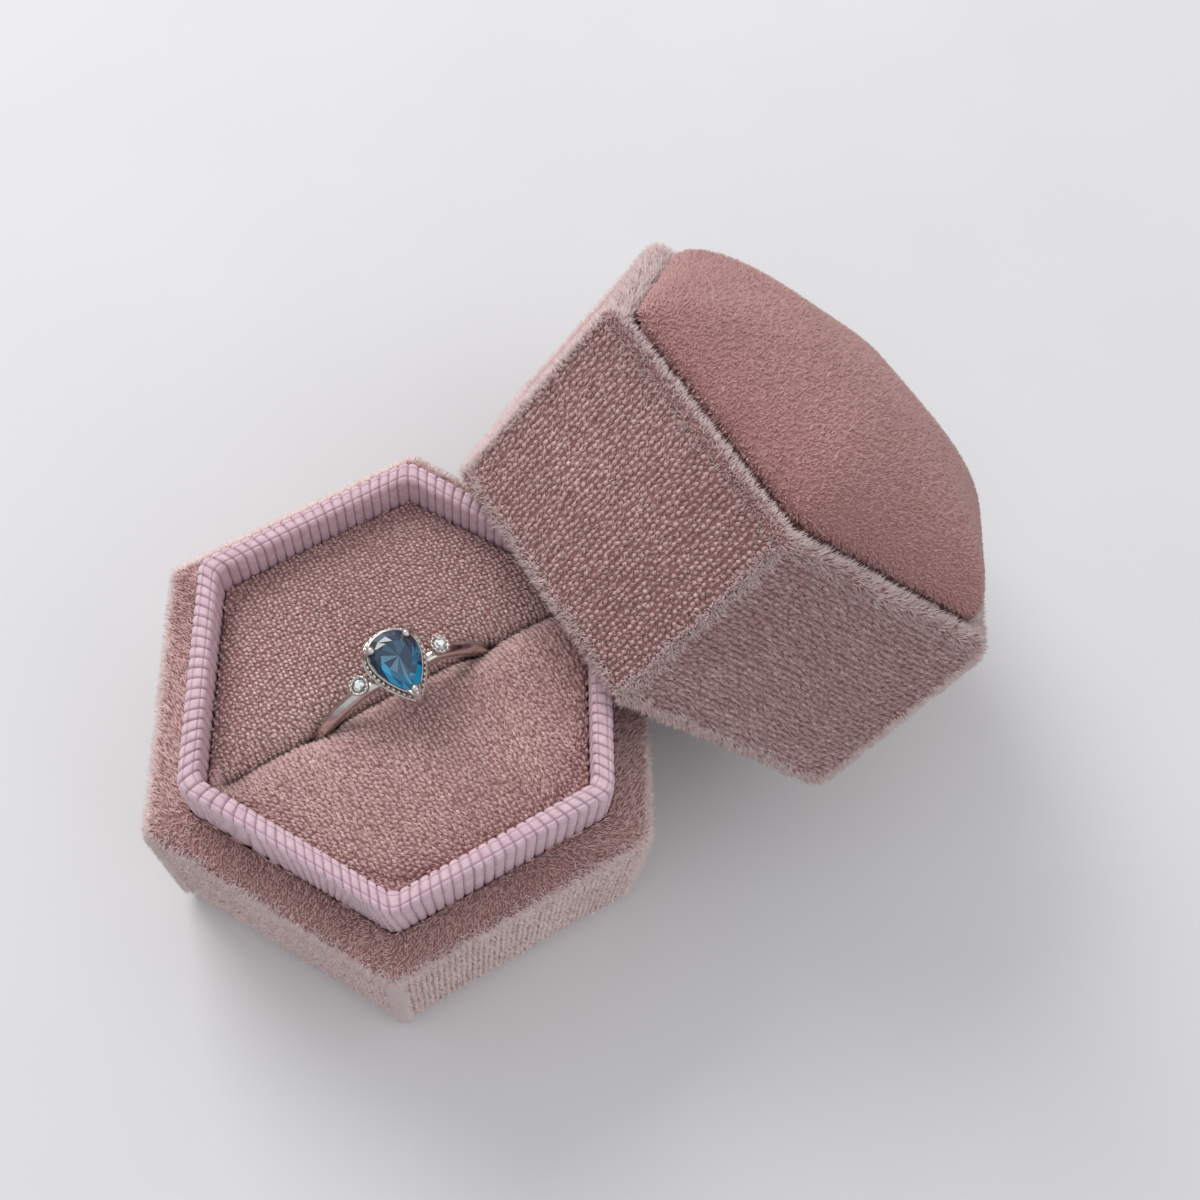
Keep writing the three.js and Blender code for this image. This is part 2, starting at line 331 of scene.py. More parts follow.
def material(name, **settings):
    """A material with one Principled shader, its constant inputs set on its own sockets."""
    made = bpy.data.materials.new(name)
    made.use_nodes = True
    shader = made.node_tree.nodes["Principled BSDF"]
    for label, value in settings.items():
        shader.inputs[label.replace("_", " ")].default_value = value
    return made


def add(made, kind, **inputs):
    node = made.node_tree.nodes.new(kind)
    for label, value in inputs.items():
        node.inputs[label.replace("_", " ")].default_value = value
    return node


def link(made, source, target):
    made.node_tree.links.new(source, target)


def shader_of(made):
    return made.node_tree.nodes["Principled BSDF"]


def place_in_mm(made):
    """The surface's own coordinates in millimetres."""
    place = add(made, "ShaderNodeTexCoord")
    scale = add(made, "ShaderNodeMapping", Scale=(1 / MM,) * 3)
    link(made, place.outputs["Object"], scale.inputs["Vector"])
    return scale.outputs["Vector"]


def noise_at(made, place, scale, detail=3.0):
    noise = add(made, "ShaderNodeTexNoise", Scale=scale, Detail=detail)
    link(made, place, noise.inputs["Vector"])
    return noise.outputs["Fac"]


def ramp_of(made, factor, *stops):
    """Colours at positions from 0 to 1."""
    ramp = add(made, "ShaderNodeValToRGB")
    while len(ramp.color_ramp.elements) < len(stops):
        ramp.color_ramp.elements.new(0.5)
    for element, (position, colour) in zip(ramp.color_ramp.elements, stops):
        element.position = position
        element.color = (*colour, 1)
    link(made, factor, ramp.inputs["Fac"])
    return ramp.outputs["Color"]


def bump_from(made, height, strength, distance):
    bump = add(made, "ShaderNodeBump", Strength=strength, Distance=distance * MM)
    link(made, height, bump.inputs["Height"])
    link(made, bump.outputs["Normal"], shader_of(made).inputs["Normal"])


def rough_from(made, factor, low, high):
    between = add(made, "ShaderNodeMapRange", To_Min=low, To_Max=high)
    link(made, factor, between.inputs["Value"])
    link(made, between.outputs["Result"], shader_of(made).inputs["Roughness"])


def linear(*colour):
    """An sRGB colour from 0 to 255, as the shader's linear one."""
    return tuple((c / 255) ** 2.2 for c in colour)


def grained(name, dark, pale, scale, rough, bump=None, detail=3.0, **settings):
    """A material whose colour and roughness follow its grain, with a bump of (scale, strength, depth)."""
    made = material(name, **settings)
    place = place_in_mm(made)
    grain = noise_at(made, place, scale, detail)
    colour = ramp_of(made, grain, (0.3, linear(*dark)), (0.7, linear(*pale)))
    link(made, colour, shader_of(made).inputs["Base Color"])
    rough_from(made, grain, *rough)
    if bump:
        bump_scale, strength, depth = bump
        bump_from(made, noise_at(made, place, bump_scale, detail), strength, depth)
    return made


def velvet_ground(name, dark, pale):
    """The woven cloth that shows between the tufts, kept a little darker than them as painted shade in the
    gaps.
    """
    bump = (5.0, 0.6, 0.15)
    return grained(name, dark, pale, 2.4, (0.85, 1.0), bump, Sheen_Weight=0.25, Sheen_Roughness=0.5)


def pile_shades(name, darkest, palest, count=6):
    """The tufts' colours, lit and shaded copies of one velvet: painted shade for those that stand in the
    shade of others, up to painted highlight on the frosted tips.
    """
    shades = []
    for k in range(count):
        share = k / (count - 1)
        colour = [a + (b - a) * share for a, b in zip(linear(*darkest), linear(*palest))]
        sheen = dict(Sheen_Weight=0.35, Sheen_Roughness=0.4, Sheen_Tint=(*linear(240, 222, 222), 1))
        shades.append(material(f"{name}_{k}", Base_Color=(*colour, 1), Roughness=0.62, **sheen))
    return shades


def ribbon_cloth(name, dark, pale):
    """Grosgrain with a satin thread."""
    bump = (9.0, 0.35, 0.05)
    return grained(name, dark, pale, 1.2, (0.5, 0.68), bump, Sheen_Weight=0.2, Specular_IOR_Level=0.4)


def polished_silver():
    dark, pale = (198, 192, 186), (222, 217, 212)
    return grained("silver", dark, pale, 1.4, (0.06, 0.16), (6.0, 0.04, 0.02), Metallic=1.0)


def facet_shades(name, colours):
    """One polished material for each tone that a cut stone shows. The tones are painted reflections and
    painted shade that stand in for light through the facets.
    """
    shades = []
    for k, colour in enumerate(colours):
        colour = (*linear(*colour), 1)
        polish = dict(Roughness=0.05, IOR=1.62, Coat_Weight=0.6, Coat_Roughness=0.02)
        shades.append(material(f"{name}_{k}", Base_Color=colour, **polish))
    return shades


def grey_board():
    dark, pale = (150, 142, 130), (172, 164, 151)
    return grained("grey_board", dark, pale, 1.6, (0.85, 1.0), (1.6, 0.3, 0.1), detail=6.0)


def foam_rubber():
    made = material("foam")
    place = place_in_mm(made)
    cells = add(made, "ShaderNodeTexVoronoi", Scale=2.2)
    link(made, place, cells.inputs["Vector"])
    depth = cells.outputs["Distance"]
    colour = ramp_of(made, depth, (0.0, linear(240, 234, 218)), (0.8, linear(206, 198, 180)))
    link(made, colour, shader_of(made).inputs["Base Color"])
    rough_from(made, depth, 0.9, 1.0)
    bump_from(made, depth, 0.5, 0.2)
    return made


def foot_felt():
    dark, pale = (112, 78, 84), (150, 112, 118)
    bump = (3.0, 0.8, 0.15)
    return grained("felt", dark, pale, 3.0, (0.88, 1.0), bump, detail=8.0, Sheen_Weight=0.3)


def studio_floor():
    dark, pale = (219, 219, 221), (223, 223, 225)
    return grained("floor", dark, pale, 0.02, (0.6, 0.75), Specular_IOR_Level=0.2)


GROUND = velvet_ground("velvet_ground", (142, 100, 98), (168, 125, 123))
BASE_GROUND = velvet_ground("base_ground", (160, 120, 118), (182, 142, 140))
DOME_GROUND = velvet_ground("dome_ground", (150, 106, 104), (172, 128, 126))
# Each pile palette runs from painted shade to painted highlight.
SHADES = pile_shades("pile", (148, 100, 98), (243, 210, 207))
DOME_SHADES = pile_shades("dome_pile", (176, 124, 121), (226, 180, 177))
# Pale, greyed tones: painted sheen on edges, walls and rim, and painted grey shade on the lid's front side.
SHEEN_AND_SHADE_TONES = pile_shades("edge_pile", (190, 154, 153), (255, 236, 235))
RIBBON = ribbon_cloth("ribbon", (203, 171, 183), (223, 195, 205))
# Painted shade: a darker copy of the ribbon for the faces in the grooves.
RIBBON_GROOVE_SHADE = ribbon_cloth("ribbon_groove_shade", (182, 150, 163), (201, 170, 183))
SILVER = polished_silver()
# Facet tones of the blue stone: navies and grey-blues as painted shade and reflection, bright blues as
# painted light.
NAVIES = [(14, 30, 48), (24, 52, 76), (44, 78, 104), (82, 118, 142)]
BRIGHT_BLUES = [(20, 98, 136), (34, 150, 196)]
BLUES = facet_shades("blue_stone", NAVIES + BRIGHT_BLUES)
# Painted reflections: the clear stones' facets take greys up to near white.
CLEARS = facet_shades("clear_stone", [(120, 122, 126), (180, 182, 184), (226, 228, 230), (248, 249, 250)])
BOARD = grey_board()
FOAM = foam_rubber()
FELT = foot_felt()


# Pile


def patches(points, size):
    """Smooth variation from about -1 to 1 over a distance of a few times the size."""
    total = 0
    for k in range(5):
        heading = unit(chance.normal(size=3))
        total = total + np.sin(points @ heading / size * (1 + 0.4 * k) + chance.uniform(0, 7))
    return total / 3


def jitter(count, amount):
    return chance.normal(0, amount, count)


def pile(name, body, surface, spots, glow, lean, cut, shades=None):
    """Tufts of pile on a surface, each a body and a few fine strands that lean in the cloth's nap.

    Lean is (round, along) the cloth, and glow from 0 to 1 is how pale a tuft is painted: its tone, with any
    painted sheen or painted shade that a caller adds. It gives a list of pieces.
    """
    faces_each = 6 * cut["strands"] + (12 if cut["body"] else 0)
    share = math.ceil(len(spots) * faces_each / MOST_FACES)
    glow, lean_round, lean_along = (np.broadcast_to(part, len(spots)) for part in (glow, *lean))
    lots = np.array_split(np.arange(len(spots)), share)
    parts = []
    for k, lot in enumerate(lots):
        lean = (lean_round[lot], lean_along[lot])
        parts.append(tufts_of(f"{name}_{k}", body, surface, spots[lot], glow[lot], lean, cut, shades))
    return parts


def tufts_of(name, body, surface, spots, glow, lean, cut, shades):
    """One piece of pile. Its strands are painted paler than the tufts' bodies, and those on a tuft's
    leading side paler still: a painted highlight where they would catch more light than those behind.
    """
    shades = shades or SHADES
    strands = cut["strands"]
    across, along, out = directions(surface, spots)
    lean_round, lean_along = (part[:, None] for part in lean)
    nap = unit(out + across * lean_round + along * lean_along)
    nap = nap + chance.normal(0, 0.07, nap.shape)
    here = surface.at(spots)
    glow = glow + 0.05 * patches(here, 3.0) + jitter(len(spots), cut["vary"])

    def each(values):
        return np.repeat(values, strands, axis=0)

    count = len(spots) * strands
    aside, ahead = jitter(count, 1.0), jitter(count, 1.0)
    root = each(here - out * 0.1)
    root += cut["spread"] * (each(across) * aside[:, None] + each(along) * ahead[:, None])
    way = unit(each(nap) + chance.normal(0, cut["stray"], (count, 3)))
    length = cut["tall"] * chance.uniform(0.8, 1.1, count)
    width = cut["thick"] / 2 * chance.uniform(0.75, 1.2, count)
    points, faces = spindles(root, root, root + way * length[:, None], width, 3)
    # Painted highlight: strands paler than the body, those ahead in the nap paler still.
    leading = aside * each(lean_round)[:, 0] + ahead * each(lean_along)[:, 0]
    level = np.repeat(each(glow) + 0.08 + 0.09 * leading + jitter(count, 0.06), 6)
    if cut["body"]:
        wide = cut["body"] * chance.uniform(0.85, 1.1, len(spots))
        nap = unit(nap)
        waist = here + nap * 0.1
        bodies, body_faces = spindles(here - out * 0.2, waist, waist + nap * cut["reach"], wide, 6)
        faces = np.concatenate([faces, body_faces + len(points)])
        points = np.concatenate([points, bodies])
        level = np.concatenate([level, np.repeat(glow, 12)])
    shade = (np.clip(level, 0, 0.999) * len(shades)).astype(int)
    return make_piece(name, body, points, [faces], shades, shade)


def spindles(low, waist, tip, radius, sides):
    """Small bodies pointed at both ends, widest at the waist."""
    count = len(tip)
    axis = unit(tip - low + 1e-6)
    first = unit(np.cross(axis, chance.normal(size=(count, 3))))
    second = np.cross(axis, first)
    rims = []
    for angle in full_turn(sides):
        rim = math.cos(angle) * first + math.sin(angle) * second
        rims.append(waist + rim * radius[:, None])
    points = np.stack([low - axis * 0.02, tip, *rims], axis=1).reshape(-1, 3)
    step = np.arange(sides)
    beyond = (step + 1) % sides
    lower = np.stack([np.zeros(sides, int), 2 + beyond, 2 + step], 1)
    upper = np.stack([np.ones(sides, int), 2 + step, 2 + beyond], 1)
    one = np.concatenate([lower, upper])
    faces = (np.arange(count)[:, None, None] * (sides + 2) + one).reshape(-1, 3)
    return points, faces


def rows(start, end, width, pitch=(TUFT_PITCH, TUFT_PITCH), loose=0.08):
    """Spots in rows and columns over a strip of cloth that closes on itself after its width."""
    count = round(width / pitch[0])
    lines = max(2, round((end - start) / pitch[1]))
    line, number = np.meshgrid(np.arange(lines), np.arange(count), indexing="ij")
    around = (number + 0.5) * width / count
    along = start + (line + 0.5) * (end - start) / lines
    spots = np.stack([around.ravel(), along.ravel()], -1)
    return spots + chance.normal(0, loose, spots.shape)


def fringe(wrap, low, high, level):
    """Scattered spots up the corners of a wrap, and round it at one level."""
    up = round((high - low) / 0.07)
    corner = (np.arange(6) * wrap.side + (wrap.straight + wrap.side) / 2)[:, None]
    around = (corner + chance.normal(0, 0.24, (6, up))).ravel()
    corners = np.stack([around, chance.uniform(low, high, 6 * up)], -1)
    count = round(wrap.round / 0.12)
    edge = np.stack([chance.uniform(0, wrap.round, count), level + jitter(count, 0.3)], -1)
    return np.concatenate([corners, edge])


def near(values, middle, width):
    return np.exp(-(((values - middle) / width) ** 2))


# The base


def base_cover():
    """The velvet round the base: a hem under it, up the walls and in over the ledge."""
    outer = BOX_FLAT - PILE_DEPTH
    level = LEDGE_LEVEL - PILE_DEPTH
    ledge_inner = COLLAR_FLAT + 0.02
    hem_inner = BOX_FLAT - 4.5
    outside = [(hem_inner, HEM_LEVEL), (outer - 0.4, HEM_LEVEL), (outer, HEM_LEVEL + 0.4)]
    outside += quarter((outer, level - 0.7), (outer - 0.7, level))
    outside += [(ledge_inner, level)]
    thick = 0.5
    inside = [(ledge_inner, level - thick), (outer - 1.2, level - thick), (outer - thick, level - 1.2)]
    inside += [(outer - thick, HEM_LEVEL + thick), (hem_inner, HEM_LEVEL + thick)]
    around = (1.1, BASE_TURN, np.eye(4))
    cover = wrap_piece("base_velvet", "base", outside + inside, *around, [BASE_GROUND])
    wrap = Wrap(outside, *around)
    wall = wrap.reach[2]
    edge = wrap.reach[5]
    end = wrap.reach[-1] + 0.1

    walls = rows(wall - 0.2, edge - 0.5, wrap.round, (0.62, 0.56))
    sway = 0.15 * np.sin(walls[:, 0] / 9)
    # Painted sheen: the walls' pile is painted pale and grey, as it looks when seen at a grazing angle.
    low = pile("base_velvet_pile", "base", wrap, walls, 0.72, (sway, 1.7), CROPPED, SHEEN_AND_SHADE_TONES)

    ledge = rows(edge - 0.5, end, wrap.round, (0.5, 0.46), loose=0.12)
    # Painted sheen: paler towards the ledge's outer edge.
    glow = 0.88 + 0.1 * near(ledge[:, 1], edge, 0.7)
    sway = 0.5 * np.sin(ledge[:, 0] / 7 + 1)
    outward = np.where(ledge[:, 1] < edge + 0.5, 0.1, -0.5)
    over = pile("base_ledge_pile", "base", wrap, ledge, glow, (sway, outward), FURRY)

    spots = fringe(wrap, wall, edge, edge - 0.2)
    # Painted sheen: the fringe up the corners and round the outer edge is painted pale.
    edging = pile("base_edge_pile", "base", wrap, spots, 0.85, (0.2, 0.3), FURRY, SHEEN_AND_SHADE_TONES)
    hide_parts("base_velvet_cover")


def from_groove_of(distance, pitch):
    """The distance to the nearest of the grooves that lie a pitch apart."""
    return np.abs(np.mod(distance / pitch + 0.5, 1) - 0.5) * pitch


def grooved(distance, pitch, width):
    """Rounded ribs from 0 to 1, with narrow grooves between them."""
    from_groove = from_groove_of(distance, pitch)
    swell = np.sqrt(from_groove / pitch * 2)
    return 0.25 * swell + 0.75 * (1 - near(from_groove, 0, width))


def ribbon_outlines():
    """The ribbon's shown side, folded over the collar, and its hidden side."""
    thick, rise = 0.3, 0.12
    outer, top = COLLAR_FLAT - rise, COLLAR_TOP - rise
    inner = box_of("collar_board")[1][1] - 0.75 - GAP - thick
    bottom_outside, bottom_inside = LEDGE_LEVEL - 3, COLLAR_TOP - 15
    outside = [(outer, bottom_outside), (outer, COLLAR_TOP - 0.9)]
    outside += quarter((outer, top - 0.7), (outer - 0.7, top))
    outside += quarter_down((inner + 0.7, top), (inner, top - 0.7))
    outside += [(inner, bottom_inside)]
    under = top - thick - 0.15
    inside = [(inner + thick, bottom_inside), (inner + thick, under)]
    inside += [(outer - thick, under), (outer - thick, bottom_outside)]
    return outside, inside


def ribbon_weave(around, along, pitch, width):
    """How far each spot stands out, and whether it lies in a groove, where painted shade goes, over a fold
    of this width.
    """
    on_top = near(along, width / 2, 1.2)
    ribs = grooved(around, pitch, 0.11) - 0.8
    threads = grooved(along, THREAD_PITCH, 0.08) - 0.9
    shaded_groove_spots = from_groove_of(around, pitch) < 0.06
    shaded_groove_spots |= (from_groove_of(along, THREAD_PITCH) < 0.05) & (on_top > 0.55)
    return 0.3 * ribs + 0.14 * threads * on_top, shaded_groove_spots


def collar_ribbon():
    """Grosgrain folded over the collar, its ribs crossing the fold."""
    outside, inside = ribbon_outlines()
    wrap = Wrap(outside, 1.7, BASE_TURN)
    pitch = wrap.round / round(wrap.round / RIB_PITCH)
    samples = round(wrap.round / pitch) * 14
    around = np.arange(samples) * wrap.round / samples
    fold, over, end = wrap.reach[[2, -2, -1]]
    along = [np.linspace(0, fold, 6, endpoint=False), np.linspace(fold, over, 32, endpoint=False)]
    spots = pairs(around, np.concatenate([*along, np.linspace(over, end, 5)]))
    slanted = near(spots[..., 0] / wrap.side, 3.45, 0.42)  # one side was pulled askew over the fold
    slant = 0.75 * slanted * np.minimum(spots[..., 1] - over, 0)
    bulge, shaded_groove_spots = ribbon_weave(spots[..., 0] + slant, spots[..., 1] - fold, pitch, over - fold)
    out = directions(wrap, spots)[2]
    shown = wrap.at(spots) + out * bulge[..., None]
    back = Wrap(inside, 1.5, BASE_TURN)
    back.straight, back.side = wrap.straight, wrap.side
    hidden = back.at(pairs(around, back.reach))
    points = np.concatenate([shown, hidden], axis=1)
    faces = grid_faces(samples, points.shape[1], closed_rows=True, closed_columns=True)
    shaded_groove_spots = np.concatenate([shaded_groove_spots, np.zeros(hidden.shape[:2], bool)], axis=1).ravel()
    shaded_groove_faces = (shaded_groove_spots[faces].mean(axis=1) > 0.4).astype(int)
    # Painted shade: faces in the grooves take the darker ribbon.
    cloths = [RIBBON, RIBBON_GROOVE_SHADE]
    ribbon = make_piece("ribbon", "base", points.reshape(-1, 3), [faces], cloths, shaded_groove_faces)
    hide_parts("collar_ribbon")


class CushionHalf:
    """One half of the cushion: it rolls down into the slot on one side and into the collar on the other.

    A spot on it is (distance along the slot, distance out from the slot's lip, over the top).
    """

    PRESS = 0.15  # how far it swells into its gap with the collar
    SLOT = 0.04  # half the slot's width where its lips meet
    PARTING = 0.52  # what the ring's band adds to it
    ROLL = 3.2  # the lip's radius
    EDGE = LEDGE_LEVEL + 2.7

    def __init__(self, side, inset=0.0):
        self.side = side
        self.inset = inset
        self.flat = CUSHION_FLAT + self.PRESS - inset
        self.reach = self.flat / COS30
        self.bend = math.pi / 2 * self.ROLL

    def lip(self, x):
        """Half the slot's width: closed in the middle, and parted round the ring's band."""
        middle, reach = RING_OUTER - 1.75, 1.9
        band = 1 / (1 + ((np.abs(x) - middle) / reach) ** 4)
        return self.SLOT + self.inset + self.PARTING * band

    def outer(self, x):
        return np.minimum(self.flat, (self.reach - np.abs(x)) / TAN30)

    def roll(self, x):
        return np.minimum(self.ROLL, 0.8 * (self.outer(x) - self.lip(x)))

    def top(self, x, y):
        share = six_sided_distance(y, x, 7.0) / self.flat
        crown = np.sqrt(np.maximum(1 - share**2, 0))
        tuck = 0.3 * np.exp(-((self.outer(x) - y) / 0.6))
        return self.EDGE - self.inset + (CUSHION_TOP - self.EDGE) * crown - tuck

    def at(self, spots):
        x, out = spots[..., 0], spots[..., 1]
        roll = self.roll(x)
        angle = np.clip(out / self.bend, 0, 1) * math.pi / 2
        y = self.lip(x) + roll * (1 - np.cos(angle)) + np.maximum(out - self.bend, 0)
        z = self.top(x, y) - roll * (1 - np.sin(angle)) + np.minimum(out, 0)
        return np.stack([x * self.side, y * self.side, z], -1)

    def end(self, x):
        """The distance out at which the top meets the collar."""
        return np.maximum(self.outer(x) - self.lip(x) - self.roll(x), 0) + self.bend


def cushion_form(name, half, columns, materials):
    last = half.reach - 0.45
    x = last * np.sin(np.linspace(-math.pi / 2, math.pi / 2, columns))
    bend = half.bend
    end = half.end(x)[:, None] - 0.02
    rolled = np.broadcast_to(np.linspace(0, bend, 12, endpoint=False), (columns, 12))
    flat = bend + (end - bend) * np.linspace(0, 1, 40)
    out = np.concatenate([np.full((columns, 1), -1.5), rolled, flat], axis=1)
    over = half.at(np.stack([np.broadcast_to(x[:, None], out.shape), out], -1))
    edge = np.abs(over[:, -1, 1])
    slot_wall = np.minimum(1.3 + half.inset, edge - 0.05)
    floor = np.full(columns, CUSHION_FLOOR)
    below = [(edge, floor), (slot_wall, floor), (slot_wall, over[:, 0, 2] - 2.5)]
    foot = [np.stack([x * half.side, y * half.side, level], -1) for y, level in below]
    points = np.concatenate([over, np.stack(foot, axis=1)], axis=1)
    count = points.shape[1]
    faces = [grid_faces(columns, count, closed_columns=True)]
    faces += [np.arange(count)[None, ::-1], ((columns - 1) * count + np.arange(count))[None, :]]
    return make_piece(name, "base", points.reshape(-1, 3), faces, materials)


def cushion(side, word):
    half = CushionHalf(side)
    cover = cushion_form(f"cushion_{word}", half, 90, [GROUND])
    # Painted sheen: the rolled lip is painted paler where its nap faces the light, and barely where it does
    # not.
    lip_sheen = 0.32 if side > 0 else 0.05  # of the rolled lip, where its nap faces the light or not
    across_slot, along_slot = 0.45, 0.48
    spots = []
    for x in np.arange(-half.reach + 0.6, half.reach - 0.6, along_slot):
        out = np.arange(-1.2, half.end(x) + 0.15, across_slot)
        spots.append(np.stack([np.full(len(out), x), out], -1))
    spots = np.concatenate(spots)
    spots += chance.normal(0, 0.06, spots.shape)
    rolled = near(spots[:, 1], 1.6, 2.2)
    glow = 0.54 + 0.06 * patches(half.at(spots), 6.0) + lip_sheen * rolled
    nap = -1.25 - 0.2 * rolled
    pile(f"cushion_{word}_pile", "base", half, spots, glow, (0.55, nap), CLOSE)
    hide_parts(f"cushion_velvet_{word}")
    foam = cushion_form(f"cushion_{word}_filling", CushionHalf(side, 1.5), 40, [FOAM])
    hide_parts(f"cushion_foam_{word}")


# The lid


def lid_place():
    tilt = Matrix.Rotation(LID_TILT, 4, "Y")
    reach = LID_REACH - BOX_FLAT * math.cos(LID_TILT)
    slide = Matrix.Translation((reach, 0, BOX_FLAT * math.sin(LID_TILT)))
    return np.array(Matrix.Rotation(LID_TURN, 4, "Z") @ slide @ tilt)


LID_PLACE = lid_place()


def lid_cover():
    """The velvet round the lid, turned in at the mouth and over the rim round the dome."""
    outer = BOX_FLAT - PILE_DEPTH
    low, high = PILE_DEPTH, LID_HEIGHT - PILE_DEPTH
    mouth = LID_MOUTH_FLAT + PILE_DEPTH
    rim = DOME_FLAT + 0.2
    around = (0.8, 0.0, LID_PLACE)
    outside = [(mouth, TURN_IN), (mouth, low + 0.8)]
    outside += quarter((mouth, low + 0.6), (mouth + 0.6, low))[1:]
    outside += quarter_down((outer - 0.6, low), (outer, low + 0.6))
    turn_up = len(outside) - 1
    outside += quarter((outer, high - 1.1), (outer - 1.1, high))
    outside += quarter_down((rim + 1.0, high), (rim, high - 1.0))
    outside += [(rim, DOME_BOTTOM)]
    inside = [(rim + 0.4, DOME_BOTTOM), (rim + 0.4, high - 0.9), (outer - 0.5, high - 0.9)]
    inside += [(outer - 0.5, low + 0.5), (mouth + 0.5, low + 0.5), (mouth + 0.5, TURN_IN)]
    cover = wrap_piece("lid_velvet", "lid", outside + inside, *around, [GROUND])
    wrap = Wrap(outside, *around)
    foot = wrap.reach[turn_up]
    edge = foot + (high - low) - 1.6
    crest = edge + 2.2
    under_dome = wrap.reach[-1] - 3.1
    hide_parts("lid_velvet_cover")

    mouth_spots = rows(0.2, foot, wrap.round, (0.6, 0.55))
    inside = pile("lid_mouth_pile", "lid", wrap, mouth_spots, 0.5, (0.1, 0.5), CROPPED)

    walls = rows(foot, edge, wrap.round)
    brushed = near(walls[:, 0] / wrap.side, 4.45, 0.6)  # one side's nap was stroked round the lid
    nap = np.array([0.15 + 0.85 * brushed, 1.7 - 1.5 * brushed])
    front, rest = brushed > 0.5, brushed <= 0.5
    sides = pile("lid_velvet_pile", "lid", wrap, walls[rest], 0.54, nap[:, rest], CROPPED)
    # Painted shade: this side, turned from the lamp, is painted in the greyer tones.
    sides += pile("lid_front_pile", "lid", wrap, walls[front], 0.12, nap[:, front], CROPPED, SHEEN_AND_SHADE_TONES)

    rim_spots = rows(edge, under_dome, wrap.round, (0.46, 0.42), loose=0.12)
    # Painted sheen: paler along the rim's crest.
    glow = 0.35 + 0.3 * near(rim_spots[:, 1], crest, 1.0)
    ridge = pile("lid_rim_pile", "lid", wrap, rim_spots, glow, (0.2, -0.25), FURRY, SHEEN_AND_SHADE_TONES)

    spots = fringe(wrap, foot, edge, foot)
    # Painted sheen: the fringe up the lid's corners and round its foot is painted pale.
    edging = pile("lid_edge_pile", "lid", wrap, spots, 0.6, (0.0, 0.3), FURRY, SHEEN_AND_SHADE_TONES)


def lid_lining():
    """Velvet on the inside of the lid: a strip round the walls and a pad on the ceiling."""
    wall = LID_MOUTH_FLAT + PILE_DEPTH
    low, high = TURN_IN + GAP, LINING_TOP - GAP
    strip = [(wall + 0.4, low), (wall + 0.4, high), (wall, high), (wall, low)]
    walls = wrap_piece("lid_lining", "lid", strip, 1.2, 0.0, LID_PLACE, [GROUND])
    wrap = Wrap(strip[2:], 1.2, 0.0, LID_PLACE)
    spots = rows(0.2, wrap.reach[-1], wrap.round)
    tufts = pile("lid_lining_pile", "lid", wrap, spots, 0.45, (0.0, 0.5), CROPPED)
    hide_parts("lid_lining_walls")
    pad()


class Ceiling:
    """The underside of the pad in the lid. A spot on it is (y, x) in the lid's own plan."""

    def __init__(self, flat, level, belly):
        self.flat, self.level, self.belly = flat, level, belly

    def at(self, spots):
        y, x = spots[..., 0], spots[..., 1]
        share = six_sided_distance(x, y, 8.0) / self.flat
        sag = self.belly * np.sqrt(np.maximum(1 - share**2, 0))
        return moved(np.stack([x, y, self.level - sag], -1), LID_PLACE)


def disc(rings, sides, outline):
    """Points and faces of a closed lens from outline(share, angle, top) over rings from the middle out."""
    angles = full_turn(sides)
    shares = np.linspace(0, 1, rings + 1)[1:]
    layers = [np.array([[outline(s, a, top) for a in angles] for s in shares]) for top in (True, False)]
    upper, lower = (layer.reshape(-1, 3) for layer in layers)
    count = len(upper)
    points = np.concatenate([upper, lower, [outline(0, 0, True)], [outline(0, 0, False)]])
    side = grid_faces(rings, sides, closed_columns=True)
    rim = np.arange(sides)
    beyond = (rim + 1) % sides
    last = (rings - 1) * sides
    walls = np.stack([last + rim, last + beyond, count + last + beyond, count + last + rim], 1)
    fan_top = np.stack([np.full(sides, 2 * count), rim, beyond], 1)
    fan_low = np.stack([np.full(sides, 2 * count + 1), count + beyond, count + rim], 1)
    return points, [side[:, ::-1], (side + count), walls[:, ::-1], fan_top, fan_low]


def pad():
    flat = LID_MOUTH_FLAT + 1.2
    level = LINING_TOP + PILE_DEPTH
    surface = Ceiling(flat, level, 0.6)

    def outline(share, angle, top):
        x, y = math.cos(angle), math.sin(angle)
        far = share * flat / six_sided_distance(x, y, 16.0)
        if top:
            return moved(np.array([x * far, y * far, LINING_TOP + 1.7]), LID_PLACE)
        return surface.at(np.array([y * far, x * far]))

    points, faces = disc(8, 72, outline)
    cover = make_piece("lid_pad", "lid", points, faces, [GROUND])
    grid = np.arange(-flat, flat, TUFT_PITCH)
    spots = pairs(grid, grid).reshape(-1, 2)
    y, x = spots.T
    spots = spots[six_sided_distance(x, y, 16.0) < LID_MOUTH_FLAT]
    spots += chance.normal(0, 0.04, spots.shape)
    pile("lid_pad_pile", "lid", surface, spots, 0.45, (0.2, 0.2), CROPPED)
    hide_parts("lid_lining_pad")


